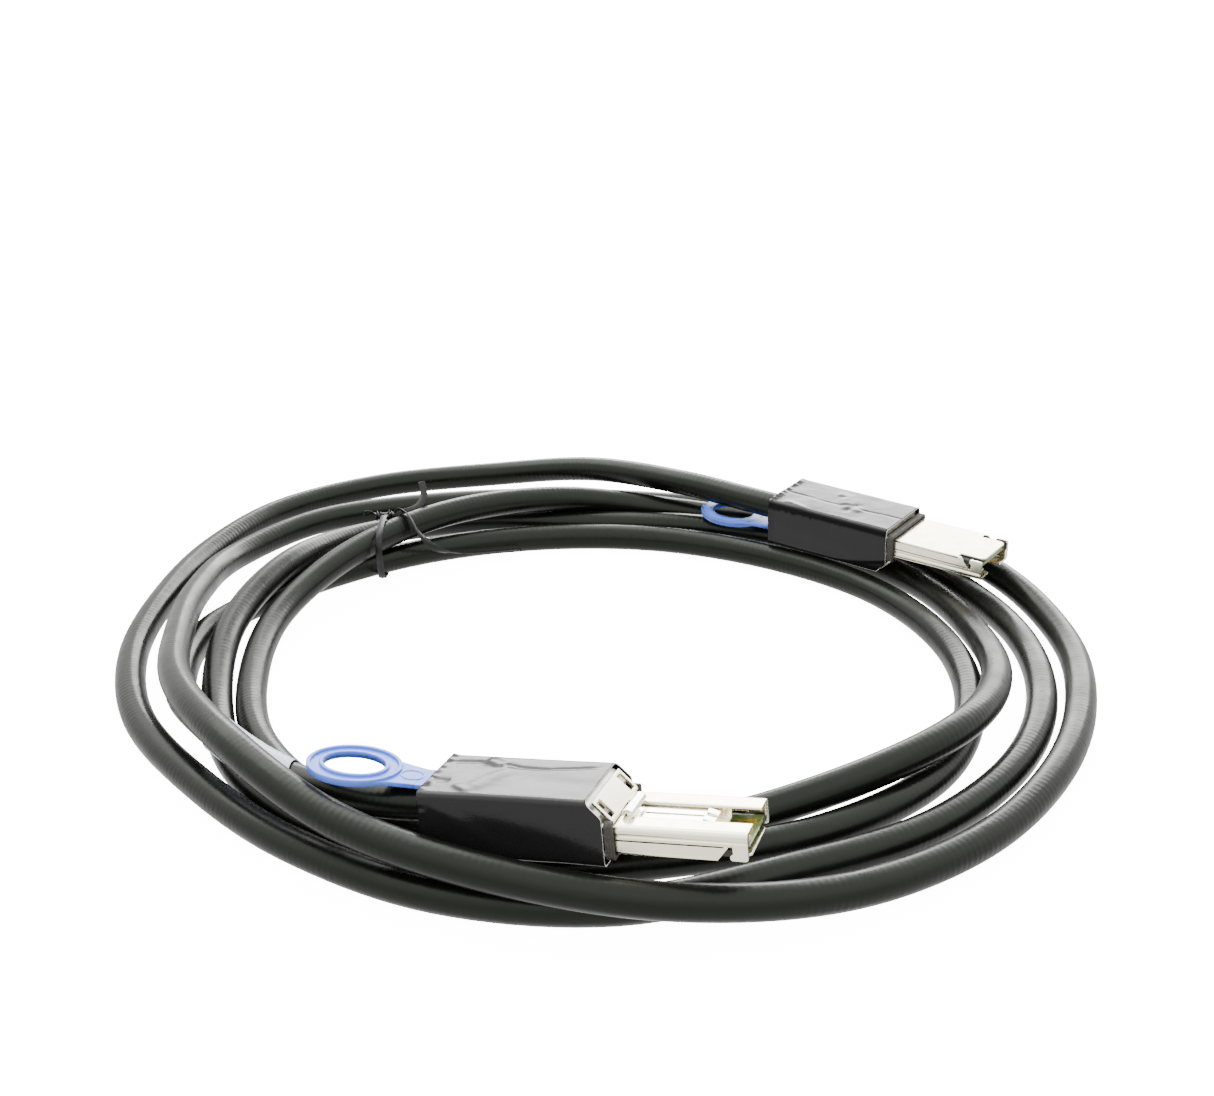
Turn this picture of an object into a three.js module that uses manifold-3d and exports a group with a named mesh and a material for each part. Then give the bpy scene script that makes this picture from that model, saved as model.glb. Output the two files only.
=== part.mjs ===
// An external four-lane SAS cable: a loose coil of round cable with a latching plug on each end.
// Millimetres, +Z up. The coil lies on the plane z = 0, and the plugs rest on its turns.

import * as THREE from "three";
import { mergeVertices } from "three/addons/utils/BufferGeometryUtils.js";
import Module from "manifold-3d";

const wasm = await Module();
wasm.setup();

// Running clearance between touching pieces
const clearance = 0.3;

// Cable
const cableDiameter = 8;
const cableSteps = 84;
const cableSides = 10;

// Label sleeve on the cable, measured along the cable from the front plug
const labelStart = 41;
const labelLength = 27;
const labelThickness = 0.25;

// Plug housing: the taped backshell, from its rear face forward along x
const housingLength = 40.4;
const housingWidth = 20.4;
const housingHeight = 13.8;
const housingCorner = 1.2;
const frontChamfer = 2.8;
const tapeThickness = 0.4;
const shellWall = 1.6;
const rearWall = 3;
const partingHeight = 5.9;
const cavityRoof = 2.9;
const cavityLength = 23.5;

// Nose: the stamped shells that enter the receptacle
const noseLength = 30.3;
const noseWidth = 18.1;
const noseBottom = 2.5;
const noseTop = 8.5;
const sheet = 0.6;
const railWidth = 6;
const railRadius = 1.2;
const recessTop = 6.2;
const recessEnd = 6.3;
const tongueLength = 3.4;
const tongueWidth = 13;
const sideWallTop = 5.3;
const legLength = 3.2;
const notchWidth = 1.5;

// Gasket round the root of the nose
const gasketDepth = 1.8;
const gasketRim = 0.9;

// Paddle card and its contact pads
const cardWidth = 15.2;
const cardThickness = 1;
const cardBottom = 4;
const cardInside = 15.5;
const cardSetback = 0.7;
const padCount = 13;
const padPitch = 0.8;
const padWidth = 0.5;
const padLength = 4.2;
const padHeight = 0.1;

// Latch: a spring strip with two hooked arms and a rolled lever
const latchBottom = 7.2;
const latchThickness = 0.5;
const latchWidth = 5.2;
const latchRear = 6.4;
const latchReach = 22;
const latchSlotWidth = 0.8;
const leverRadius = 1.3;
const leverPlace = 4.4;
const leverWidth = 9;
const leverLift = 0.4;
const hookHeight = 0.6;
const hookLength = 2.4;
const hookWidth = 1.9;

// Slotted cover over the latch
const coverWidth = 17;
const coverThickness = 0.6;
const coverSlotWidth = 2.2;
const coverSlotReach = 1.5;
const coverSlotPlace = 6.6;

// Pull tab: strap under the tape, with a finger ring behind the plug
const strapWidth = 8;
const strapThickness = 1;
const strapTravel = 2.5;
const strapFront = 6;
const footLength = 2;
const footWidth = 3.4;
const ringLength = 21.5;
const ringWidth = 17.6;
const ringBand = 3.7;
const ringThickness = 1.6;
const rimHeight = 0.5;
const rimWidth = 0.9;
const ringGap = 8.6;
const frontRingTilt = 7.5;
const rearRingTilt = 0;

// Crimp ferrule, conductors and rivets
const ferruleLength = 9;
const ferruleWall = 0.6;
const crimpRadius = 3;
const trunkLength = 13;
const wireCount = 8;
const wirePitch = 1.6;
const wireRadius = 0.65;
const wireEnd = 25;
const rivetRadius = 0.9;
const rivetInset = 2.6;

// Twist tie
const tieWidth = 1.6;
const tieThickness = 0.5;

// Places of the two plugs: the rear face's lower edge centre, then yaw, pitch and roll in degrees
const frontPlugPlace = [-57.8, -85, 9.1];
const frontPlugTurn = [-17.9, -6.6, -4];
const rearPlugPlace = [32.8, 92.1, 23.4];
const rearPlugTurn = [-37.1, 0.8, 184];

// Centre line of the cable, from the front plug round the coil to the rear plug
const cableRoute = [
  [-58.7, -84.2, 15.9], [-71.6, -80, 14.3], [-93.5, -68.5, 13], [-118.5, -40, 12], [-133, -5.5, 5.5],
  [-133, 32, 4], [-111, 63, 4.5], [-80.5, 86, 5], [-45.5, 100.5, 4],
  [-7.5, 100, 4], [27.5, 85, 4], [55.5, 59, 4], [70, 24, 4],
  [70, -14.5, 4], [56, -50, 4], [28, -75.5, 4.5], [-7.5, -88, 4.5],
  [-45.5, -91, 4], [-81.5, -78.5, 4], [-108, -51, 4], [-121.5, -15.5, 4.5],
  [-125, 22.5, 9.5], [-115.5, 59, 12.5], [-98, 92.5, 8], [-66.5, 113, 5],
  [-28.5, 114, 4], [9.5, 108.5, 4.5], [43.5, 92, 4.5], [69, 63.5, 4.5],
  [79, 27, 5.5], [77, -11, 9.5], [60.5, -45, 13], [29.5, -66.5, 10],
  [-7, -77.5, 5], [-45, -80.5, 4.5], [-80.5, -68.5, 4.5], [-105, -39, 4.5],
  [-115, -2.5, 4.5], [-114, 35.5, 7.5], [-97, 69.5, 12.5], [-70.5, 96.5, 14.5],
  [-37, 115, 12], [0, 120.5, 6], [36, 108, 5.5], [67, 86, 13],
  [93, 59, 8.5], [103, 22.5, 5], [98, -15, 5], [83.5, -50.5, 5],
  [60, -80.5, 4.5], [28, -102, 5.5], [-8.5, -112, 9.5], [-46, -106.5, 12.5],
  [-80, -90.5, 15.5], [-108.5, -63.5, 20.5], [-127, -30.5, 18.5], [-135.5, 6.5, 14],
  [-139.5, 44.5, 9.5], [-136.5, 82.5, 5], [-115, 113.5, 5], [-80.5, 129.5, 4.5],
  [-42.5, 134, 4.5], [-4.5, 131.5, 4], [32, 120, 4], [61.5, 96.5, 4],
  [81, 63.5, 4], [91.5, 27, 4], [89, -11.5, 4], [74.5, -46.5, 4],
  [49, -75, 4], [15.5, -93.5, 4.5], [-20.5, -105.5, 4], [-58, -101, 4],
  [-91.5, -81.5, 4], [-118, -54.5, 4], [-139.5, -23, 4], [-150.5, 14, 4],
  [-151, 52, 4.5], [-145, 90, 4.5], [-129.5, 124.5, 4.5], [-100, 148.5, 4.5],
  [-62.5, 153, 7], [-27.5, 140, 13.5], [3, 116.5, 16.8],
  [21.8, 101, 17.1], [32.7, 92.8, 16.9],
];

// Twist tie: the loop round the three inner turns, then its two tails
const tieLoop = [
  [-90.5, 90, 15.5], [-90.5, 85, 17.6], [-90.5, 78, 18.2], [-90.5, 70.5, 16.8], [-90.5, 68, 12.5],
  [-90.5, 69.2, 8], [-90.5, 72, 2.6], [-90.5, 78, 0.5], [-90.5, 89, 0.6], [-90.5, 98, 2],
  [-90.5, 105, 5], [-90.5, 104.6, 10.6], [-90.5, 98, 12.8], [-90.5, 92, 14.2], [-90.5, 89.5, 15.5],
];
const tieTailUp = [[-90.5, 90, 15.3], [-84.5, 94, 15.6], [-81, 98, 17.5], [-80.5, 101, 22]];
const tieTailAlong = [
  [-90.5, 89.5, 15.5], [-86.5, 86.5, 18.8], [-82.5, 81.5, 18.6], [-79.5, 79, 14], [-74.5, 80, 8.5],
  [-66.5, 85.4, 5], [-58.5, 89.6, 3.6], [-49.5, 93, 3],
];
const knotSize = [8, 6, 3.2];
const knotPlace = [-90.5, 90, 15.4];

// Finishes
const blackJacket = new THREE.MeshStandardMaterial({ color: 0x1c1d1b, roughness: 0.45, metalness: 0 });
const blackFilm = new THREE.MeshStandardMaterial({ color: 0x121212, roughness: 0.2, metalness: 0 });
const nickel = new THREE.MeshStandardMaterial({ color: 0xd8d4c8, roughness: 0.25, metalness: 1 });
const castMetal = new THREE.MeshStandardMaterial({ color: 0xa9a69c, roughness: 0.45, metalness: 1 });
const springSteel = new THREE.MeshStandardMaterial({ color: 0xe4e1d8, roughness: 0.2, metalness: 1 });
const cardGreen = new THREE.MeshStandardMaterial({ color: 0x4d6b2e, roughness: 0.4, metalness: 0 });
const gasketFoam = new THREE.MeshStandardMaterial({ color: 0x4a4740, roughness: 0.8, metalness: 0.3 });
const tabBlue = new THREE.MeshStandardMaterial({ color: 0x7d97dd, roughness: 0.4, metalness: 0 });
const labelWhite = new THREE.MeshStandardMaterial({ color: 0xd3dbe6, roughness: 0.5, metalness: 0 });
const wireGrey = new THREE.MeshStandardMaterial({ color: 0x8a8f94, roughness: 0.5, metalness: 0.2 });

// Solids from geometries, and back
function solid(geometry) {
  const bare = geometry.index ? geometry.toNonIndexed() : geometry.clone();
  bare.deleteAttribute("normal");
  bare.deleteAttribute("uv");
  const merged = mergeVertices(bare, 1e-4);
  return new wasm.Manifold(new wasm.Mesh({
    numProp: 3,
    vertProperties: merged.attributes.position.array,
    triVerts: new Uint32Array(merged.index.array),
  }));
}

function geometryOf(body) {
  const mesh = body.getMesh();
  const geometry = new THREE.BufferGeometry();
  geometry.setAttribute("position", new THREE.BufferAttribute(new Float32Array(mesh.vertProperties), 3));
  geometry.setIndex(new THREE.BufferAttribute(new Uint32Array(mesh.triVerts), 1));
  const flat = geometry.toNonIndexed();
  flat.computeVertexNormals();
  return flat;
}

// A block between two corners
function block(low, high) {
  const size = high.map((value, i) => value - low[i]);
  const geometry = new THREE.BoxGeometry(size[0], size[1], size[2]);
  geometry.translate(low[0] + size[0] / 2, low[1] + size[1] / 2, low[2] + size[2] / 2);
  return solid(geometry);
}

// A block centred on y = 0
function midBlock(x0, x1, width, z0, z1) {
  return block([x0, -width / 2, z0], [x1, width / 2, z1]);
}

// An outline drawn in y and z, run along x
function runAlongX(shape, x0, x1) {
  const geometry = new THREE.ExtrudeGeometry(shape, { depth: x1 - x0, bevelEnabled: false, curveSegments: 4 });
  const turn = new THREE.Matrix4().makeBasis(
    new THREE.Vector3(0, 1, 0), new THREE.Vector3(0, 0, 1), new THREE.Vector3(1, 0, 0));
  geometry.applyMatrix4(turn);
  geometry.translate(x0, 0, 0);
  return solid(geometry);
}

// An outline drawn in x and z, run across y and centred on it
function runAcrossY(shape, width) {
  const geometry = new THREE.ExtrudeGeometry(shape, { depth: width, bevelEnabled: false, curveSegments: 6 });
  const turn = new THREE.Matrix4().makeBasis(
    new THREE.Vector3(1, 0, 0), new THREE.Vector3(0, 0, 1), new THREE.Vector3(0, -1, 0));
  geometry.applyMatrix4(turn);
  geometry.translate(0, width / 2, 0);
  return solid(geometry);
}

// An outline drawn in x and y, raised along z
function raise(shape, z0, z1, segments = 24) {
  const geometry = new THREE.ExtrudeGeometry(shape, {
    depth: z1 - z0, bevelEnabled: false, curveSegments: segments,
  });
  geometry.translate(0, 0, z0);
  return solid(geometry);
}

function polygon(points) {
  return new THREE.Shape(points.map(([a, b]) => new THREE.Vector2(a, b)));
}

// A rectangle with rounded corners, centred across and standing between two heights
function roundedRectangle(width, z0, z1, radius) {
  const shape = new THREE.Shape();
  const half = width / 2;
  shape.moveTo(-half + radius, z0);
  shape.lineTo(half - radius, z0);
  shape.absarc(half - radius, z0 + radius, radius, -Math.PI / 2, 0);
  shape.lineTo(half, z1 - radius);
  shape.absarc(half - radius, z1 - radius, radius, 0, Math.PI / 2);
  shape.lineTo(-half + radius, z1);
  shape.absarc(-half + radius, z1 - radius, radius, Math.PI / 2, Math.PI);
  shape.lineTo(-half, z0 + radius);
  shape.absarc(-half + radius, z0 + radius, radius, Math.PI, 1.5 * Math.PI);
  return shape;
}

// A cylinder along x
function rodAlongX(radius, x0, x1, z, sides = 24) {
  const geometry = new THREE.CylinderGeometry(radius, radius, x1 - x0, sides);
  geometry.rotateZ(-Math.PI / 2);
  geometry.translate((x0 + x1) / 2, 0, z);
  return solid(geometry);
}

// Places that the pieces of a plug share
const cableAxis = housingHeight / 2;
const shellInset = tapeThickness + clearance;
const shellHalf = housingWidth / 2 - shellInset;
const shellBottom = shellInset;
const shellTop = housingHeight - shellInset;
const shellRear = 0.6;
const shellFront = housingLength - 1;
const chamferLine = housingLength + housingHeight - frontChamfer;
const shellChamfer = chamferLine - shellInset - coverThickness * 1.5;
const noseRear = shellFront + clearance;
const noseFront = noseRear + noseLength;
const noseHalf = noseWidth / 2;
const tongueRear = noseRear - tongueLength;
const cavityRear = shellRear + rearWall;
const cavityFront = cavityRear + cavityLength;
const cavityTop = shellTop - cavityRoof;
const cardRear = noseRear - cardInside;
const cardFront = noseFront - cardSetback;
const cardTop = cardBottom + cardThickness;
const latchTop = latchBottom + latchThickness;
const latchBack = noseRear - latchRear;
const strapBottom = shellTop - strapThickness - clearance;
const strapEnd = noseRear - strapFront;
const footBottom = latchTop + clearance;
const rivetY = shellHalf - rivetInset + rivetRadius;
const rivetX = shellRear + rearWall / 2;

// Everything on one side of the sloping front edge of the housing
function slopeCutter(line) {
  const far = housingLength + 20;
  return runAcrossY(polygon([[line - 30, 30], [line + 5, -5], [far, -5], [far, 30]]), housingWidth + 10);
}

// The cast backshell, whole: both halves are cut from it
function backshell() {
  const radius = housingCorner - shellInset / 2;
  const outer = runAlongX(roundedRectangle(shellHalf * 2, shellBottom, shellTop, radius), shellRear, shellFront);
  const cardRoom = clearance + 0.1;
  const latchRoom = latchWidth + 4 * clearance;
  const noseWindow = midBlock(tongueRear - clearance, shellFront + 1, cardWidth + 0.8,
    noseBottom - clearance, recessTop + clearance);
  const latchBay = midBlock(latchBack - 2 * clearance, shellFront + 1, latchRoom,
    recessTop, latchTop + 0.8);
  const cardBay = midBlock(cavityFront - 1, tongueRear + 1, cardWidth + 0.8,
    cardBottom - cardRoom, cardTop + cardRoom);
  const cavity = midBlock(cavityRear, cavityFront, (shellHalf - shellWall) * 2,
    shellBottom + shellWall, cavityTop);
  const entry = rodAlongX(cableDiameter / 2 + clearance, shellRear - 1, cavityRear + 1, cableAxis);
  const channel = midBlock(shellRear - 1, strapEnd + clearance, strapWidth + 2 * clearance,
    strapBottom - clearance, shellTop + 1);
  const footRoom = midBlock(strapEnd - footLength - strapTravel - 3 * clearance, strapEnd + clearance,
    footWidth + 2 * clearance, latchTop, shellTop);
  let body = outer.subtract(noseWindow).subtract(latchBay).subtract(cardBay).subtract(cavity);
  body = body.subtract(entry).subtract(channel).subtract(footRoom).subtract(slopeCutter(shellChamfer));
  for (const side of [-1, 1]) {
    const hole = new THREE.CylinderGeometry(rivetRadius + clearance, rivetRadius + clearance, 40, 16);
    hole.rotateX(Math.PI / 2);
    hole.translate(rivetX, side * rivetY, 0);
    body = body.subtract(solid(hole));
  }
  return body;
}

const wholeBackshell = backshell();

function backshellLower() {
  return wholeBackshell.subtract(midBlock(-10, 60, 40, partingHeight - clearance / 2, 30));
}

function backshellUpper() {
  return wholeBackshell.subtract(midBlock(-10, 60, 40, -10, partingHeight + clearance / 2));
}

// Tape: a thin sleeve round the backshell, cut along the sloping front edge
function tapeWrap() {
  const outer = runAlongX(roundedRectangle(housingWidth, 0, housingHeight, housingCorner), 0, housingLength);
  const bore = runAlongX(roundedRectangle(housingWidth - 2 * tapeThickness, tapeThickness,
    housingHeight - tapeThickness, housingCorner - tapeThickness), -1, housingLength + 1);
  return outer.subtract(bore).subtract(slopeCutter(chamferLine - tapeThickness));
}

// Lower nose shell: a plate with two low side walls, notched at its front corners
function noseLower() {
  const plate = midBlock(noseRear, noseFront, noseWidth, noseBottom, noseBottom + sheet);
  const tongue = midBlock(tongueRear, noseRear + 1, tongueWidth, noseBottom, noseBottom + sheet);
  let body = plate.add(tongue);
  const wallFront = noseFront - legLength - clearance;
  for (const side of [-1, 1]) {
    const y0 = side > 0 ? noseHalf - sheet : -noseHalf;
    const wall = block([noseRear, y0, noseBottom], [wallFront, y0 + sheet, sideWallTop]);
    body = body.add(wall);
    const y1 = side > 0 ? noseHalf - notchWidth : -noseHalf - 1;
    body = body.subtract(block([wallFront, y1, 0], [noseFront + 1, y1 + notchWidth + 1, sideWallTop]));
    const inner = noseHalf - notchWidth - 1.6;
    const y2 = side > 0 ? inner : -inner - 1.7;
    body = body.subtract(block([wallFront - 0.1, y2, 0], [wallFront + 1.1, y2 + 1.7, sideWallTop]));
  }
  const slant = polygon([[wallFront - 2.4, sideWallTop + 1], [wallFront + 0.1, noseBottom + sheet],
    [wallFront + 4, noseBottom + sheet], [wallFront + 4, sideWallTop + 1]]);
  return body.subtract(runAcrossY(slant, noseWidth + 4));
}

// Section of the upper nose shell: two rails with a recess between them
function railOutline(inset) {
  const outer = noseHalf - inset;
  const top = noseTop - inset;
  const radius = railRadius - inset / 2;
  const inner = noseHalf - railWidth + 0.4;
  const floor = recessTop - inset;
  const right = [[outer, sideWallTop + clearance], [outer, top - radius]];
  for (const angle of [30, 60, 90]) {
    const a = (angle * Math.PI) / 180;
    right.push([outer - radius + radius * Math.cos(a), top - radius + radius * Math.sin(a)]);
  }
  right.push([inner + 0.5 + inset * 0.8, top]);
  right.push([inner + inset, top - 0.5]);
  right.push([inner - 0.2 + inset, floor]);
  const left = right.map(([y, z]) => [-y, z]).reverse();
  return right.concat(left);
}

function noseUpper() {
  const outside = railOutline(0);
  const inside = railOutline(sheet);
  const section = polygon(outside.concat(inside.reverse()));
  let body = runAlongX(section, noseRear, noseFront);
  const recessHalf = noseHalf - railWidth + 0.2;
  body = body.subtract(block([noseFront - recessEnd, -recessHalf, 0], [noseFront + 1, recessHalf, noseTop - 1.4]));
  body = body.add(midBlock(tongueRear, noseRear + 1, tongueWidth - 1.4, recessTop - sheet, recessTop));
  for (const side of [-1, 1]) {
    const y0 = side > 0 ? noseHalf - sheet : -noseHalf;
    const legFoot = noseBottom + clearance / 2;
    const leg = block([noseFront - legLength, y0, legFoot], [noseFront, y0 + sheet, sideWallTop + 1]);
    const toe = block([noseFront - legLength, y0, legFoot], [noseFront - legLength / 2, y0 + sheet, legFoot + 1]);
    const relief = block([noseFront - legLength - 1, y0 - 1, legFoot + 1],
      [noseFront - legLength * 0.6, y0 + sheet + 1, sideWallTop + clearance / 2]);
    body = body.add(leg.subtract(relief).add(toe));
  }
  return body;
}

// Gasket: a frame round the root of the nose
function gasket() {
  const x0 = housingLength + clearance;
  const hole = clearance;
  const frame = runAlongX(roundedRectangle(noseWidth + 2 * (gasketRim + hole), noseBottom - gasketRim - hole,
    noseTop + gasketRim + hole, 1), x0, x0 + gasketDepth);
  const window = midBlock(x0 - 1, x0 + gasketDepth + 1, noseWidth + 2 * hole, noseBottom - hole, noseTop + hole);
  const coverRoom = midBlock(x0 - 1, x0 + gasketDepth + 1, coverWidth + 2 * hole, noseTop - 1, noseTop + 5);
  return frame.subtract(window).subtract(coverRoom);
}

// Paddle card with a row of contact pads on each face
function paddleCard() {
  let body = midBlock(cardRear, cardFront, cardWidth, cardBottom, cardTop);
  const first = (-(padCount - 1) * padPitch) / 2;
  for (let i = 0; i < padCount; i++) {
    const y = first + i * padPitch;
    body = body.add(block([cardFront - padLength - 0.5, y - padWidth / 2, cardBottom - padHeight],
      [cardFront - 0.5, y + padWidth / 2, cardTop + padHeight]));
  }
  return body;
}

// Latch: a strip slit into two arms, with a rolled lever and a hook on each arm
function latch() {
  const tip = noseRear + latchReach;
  const strip = midBlock(latchBack, tip, latchWidth, latchBottom, latchTop);
  const slit = midBlock(noseRear + leverPlace + leverRadius + 1, tip + 1, latchSlotWidth, 0, 30);
  let body = strip.subtract(slit);
  const leverX = noseRear + leverPlace;
  const leverFoot = noseTop + leverLift;
  const roll = new THREE.Shape();
  roll.moveTo(leverX - leverRadius, leverFoot);
  roll.absarc(leverX, leverFoot, leverRadius, Math.PI, 0, true);
  roll.lineTo(leverX + leverRadius - sheet, leverFoot);
  roll.absarc(leverX, leverFoot, leverRadius - sheet, 0, Math.PI, false);
  const riser = midBlock(leverX - leverRadius, leverX - leverRadius + sheet, latchWidth,
    latchBottom, leverFoot + 0.1);
  body = body.add(runAcrossY(roll, leverWidth)).add(riser);
  for (const side of [-1, 1]) {
    const y0 = side > 0 ? latchWidth / 2 - hookWidth : -latchWidth / 2;
    const hook = polygon([[tip - hookLength, latchBottom], [tip, latchBottom], [tip, latchTop],
      [tip - hookLength, latchTop + hookHeight]]);
    body = body.add(runAcrossY(hook, hookWidth).translate([0, y0 + hookWidth / 2, 0]));
  }
  return body;
}

// Cover: a bent strip along the sloping front edge, with two slots and a lip
function latchCover() {
  const line = chamferLine + 0.2;
  const inner = line - coverThickness * Math.SQRT2;
  const topX = line - housingHeight + 0.5;
  const frontX = housingLength + clearance + gasketDepth - 0.2;
  const bottom = noseTop + clearance;
  const section = polygon([
    [topX, line - topX], [inner - (line - topX) + 0.45, line - topX - 0.45],
    [frontX - coverThickness, inner - frontX + coverThickness], [frontX - coverThickness, bottom],
    [frontX, bottom], [frontX, line - frontX],
  ]);
  let body = runAcrossY(section, coverWidth);
  const middle = (topX + frontX) / 2;
  for (const side of [-1, 1]) {
    const y = side * coverSlotPlace;
    body = body.subtract(block([middle - coverSlotReach, y - coverSlotWidth / 2, 0],
      [middle + coverSlotReach, y + coverSlotWidth / 2, 30]));
  }
  return body;
}

// Finger ring: an ellipse with a raised rim along both of its edges
function ringShape(grow) {
  const shape = new THREE.Shape();
  const x = -ringGap - ringLength / 2;
  shape.absellipse(x, 0, ringLength / 2 - grow, ringWidth / 2 - grow, 0, 2 * Math.PI);
  return shape;
}

function ringLayer(outerInset, innerInset, z0, z1) {
  return raise(ringShape(outerInset), z0, z1, 20).subtract(raise(ringShape(innerInset), z0 - 1, z1 + 1, 20));
}

// Pull tab: finger ring, neck, strap and the foot that works the latch
function pullTab(ringTilt) {
  const z0 = strapBottom;
  const ringTop = z0 + ringThickness - rimHeight;
  const bend = -3.5;
  const neck = polygon([[-ringGap - 2.5, -6], [-ringGap - 2.5, 6], [bend, strapWidth / 2], [bend, -strapWidth / 2]]);
  const hole = raise(ringShape(ringBand), z0 - 5, z0 + 5, 20);
  let ring = raise(neck, z0, z0 + strapThickness);
  ring = ring.add(ringLayer(0, ringBand, z0, ringTop)).subtract(hole);
  ring = ring.add(ringLayer(0, rimWidth, ringTop - 0.1, ringTop + rimHeight));
  ring = ring.add(ringLayer(ringBand - rimWidth, ringBand, ringTop - 0.1, ringTop + rimHeight));
  ring = ring.translate([-bend, 0, -z0]).rotate([0, ringTilt, 0]).translate([bend, 0, z0]);
  const strap = midBlock(bend - 0.2, strapEnd, strapWidth, z0, z0 + strapThickness);
  const foot = midBlock(strapEnd - footLength, strapEnd, footWidth, footBottom, z0 + 0.1);
  return strap.add(ring).add(foot);
}

// Crimp ferrule: a tube that fills the entry and narrows where it grips the braid
function ferrule() {
  const outer = cableDiameter / 2;
  const inner = crimpRadius - ferruleWall;
  const profile = [[inner, 0], [outer, 0], [outer, cavityRear], [crimpRadius, cavityRear + 0.9],
    [crimpRadius, ferruleLength], [inner, ferruleLength], [inner, 0]];
  const geometry = new THREE.LatheGeometry(profile.map(([r, h]) => new THREE.Vector2(r, h)), 20);
  geometry.rotateZ(-Math.PI / 2);
  geometry.translate(0, 0, cableAxis);
  return solid(geometry);
}

// Conductors: a trunk through the ferrule that fans out over both faces of the card
function wireBundle() {
  const trunkRadius = crimpRadius - ferruleWall - clearance;
  let body = rodAlongX(trunkRadius, 0, trunkLength, cableAxis, 16);
  const section = new THREE.Shape();
  section.absarc(0, 0, wireRadius, 0, 2 * Math.PI);
  const above = cardTop + clearance + wireRadius;
  const below = cardBottom - clearance - wireRadius;
  for (let i = 0; i < wireCount; i++) {
    const fan = (i - (wireCount - 1) / 2) / (wireCount / 2);
    const y = (i - (wireCount - 1) / 2) * wirePitch;
    const z = i % 2 ? above : below;
    const path = new THREE.CatmullRomCurve3([
      new THREE.Vector3(trunkLength - 3, fan * trunkRadius * 0.6, cableAxis + (i % 2 ? 0.9 : -0.9)),
      new THREE.Vector3(trunkLength + 1, fan * trunkRadius, cableAxis + (i % 2 ? 0.6 : -1.4)),
      new THREE.Vector3(wireEnd - 4, y, z),
      new THREE.Vector3(wireEnd, y, z),
    ]);
    const wire = new THREE.ExtrudeGeometry(section, { steps: 8, curveSegments: 3, extrudePath: path });
    body = body.add(solid(wire));
  }
  return body;
}

// Rivet: a shank with a low head at each end
function rivet(side) {
  const low = shellBottom + 0.1;
  const high = shellTop - 0.1;
  const head = rivetRadius + clearance - 0.05;
  const profile = [[0, low], [rivetRadius * 0.8, low], [rivetRadius, low + 0.2], [rivetRadius, high - 0.2],
    [rivetRadius * 0.8, high], [0, high]];
  const geometry = new THREE.LatheGeometry(profile.map(([r, h]) => new THREE.Vector2(Math.min(r, head), h)), 12);
  geometry.rotateX(Math.PI / 2);
  geometry.translate(rivetX, side * rivetY, 0);
  return solid(geometry);
}

// The cable, a tube along its centre line
const cableCurve = new THREE.CatmullRomCurve3(cableRoute.map(([x, y, z]) => new THREE.Vector3(x, y, z)));
cableCurve.arcLengthDivisions = 4000;

function disc(radius, sides) {
  const points = [];
  for (let i = 0; i < sides; i++) {
    const a = (i * 2 * Math.PI) / sides;
    points.push([radius * Math.cos(a), radius * Math.sin(a)]);
  }
  return polygon(points);
}

function cable() {
  return new THREE.ExtrudeGeometry(disc(cableDiameter / 2, cableSides), {
    steps: cableSteps, extrudePath: cableCurve,
  });
}

// The label, a sleeve on one straight step of the tube
function cableLabel() {
  const spaced = cableCurve.getSpacedPoints(cableSteps);
  const step = Math.floor(labelStart / spaced[0].distanceTo(spaced[1]));
  const from = spaced[step];
  const to = spaced[step + 1];
  const along = to.clone().sub(from).normalize();
  const begin = labelStart - step * from.distanceTo(to);
  const start = from.clone().addScaledVector(along, begin);
  const end = start.clone().addScaledVector(along, labelLength);
  const inner = cableDiameter / 2 + clearance;
  const outline = disc(inner + labelThickness, 16);
  const bore = disc(inner, 16);
  const path = new THREE.LineCurve3(start, end);
  const options = { steps: 1, extrudePath: path };
  const body = new THREE.ExtrudeGeometry(outline, options);
  const longer = new THREE.LineCurve3(start.clone().addScaledVector(along, -1), end.clone().addScaledVector(along, 1));
  const hole = new THREE.ExtrudeGeometry(bore, { steps: 1, extrudePath: longer });
  return geometryOf(solid(body).subtract(solid(hole)));
}

// The twist tie: a flat ribbon round the inner turns, twisted into a knot with two tails
function ribbon(points, steps) {
  const outline = polygon([
    [-tieWidth / 2, -tieThickness / 2], [tieWidth / 2, -tieThickness / 2],
    [tieWidth / 2, tieThickness / 2], [-tieWidth / 2, tieThickness / 2],
  ]);
  const path = new THREE.CatmullRomCurve3(points.map(([x, y, z]) => new THREE.Vector3(x, y, z)));
  return solid(new THREE.ExtrudeGeometry(outline, { steps, extrudePath: path }));
}

function twistTie() {
  const knot = new THREE.SphereGeometry(0.5, 10, 6);
  knot.scale(knotSize[0], knotSize[1], knotSize[2]);
  knot.translate(knotPlace[0], knotPlace[1], knotPlace[2]);
  let body = solid(knot).add(ribbon(tieLoop, 36));
  body = body.add(ribbon(tieTailUp, 8)).add(ribbon(tieTailAlong, 12));
  return body;
}

function named(name, geometry, material) {
  const mesh = new THREE.Mesh(geometry, material);
  mesh.name = name;
  return mesh;
}

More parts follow.
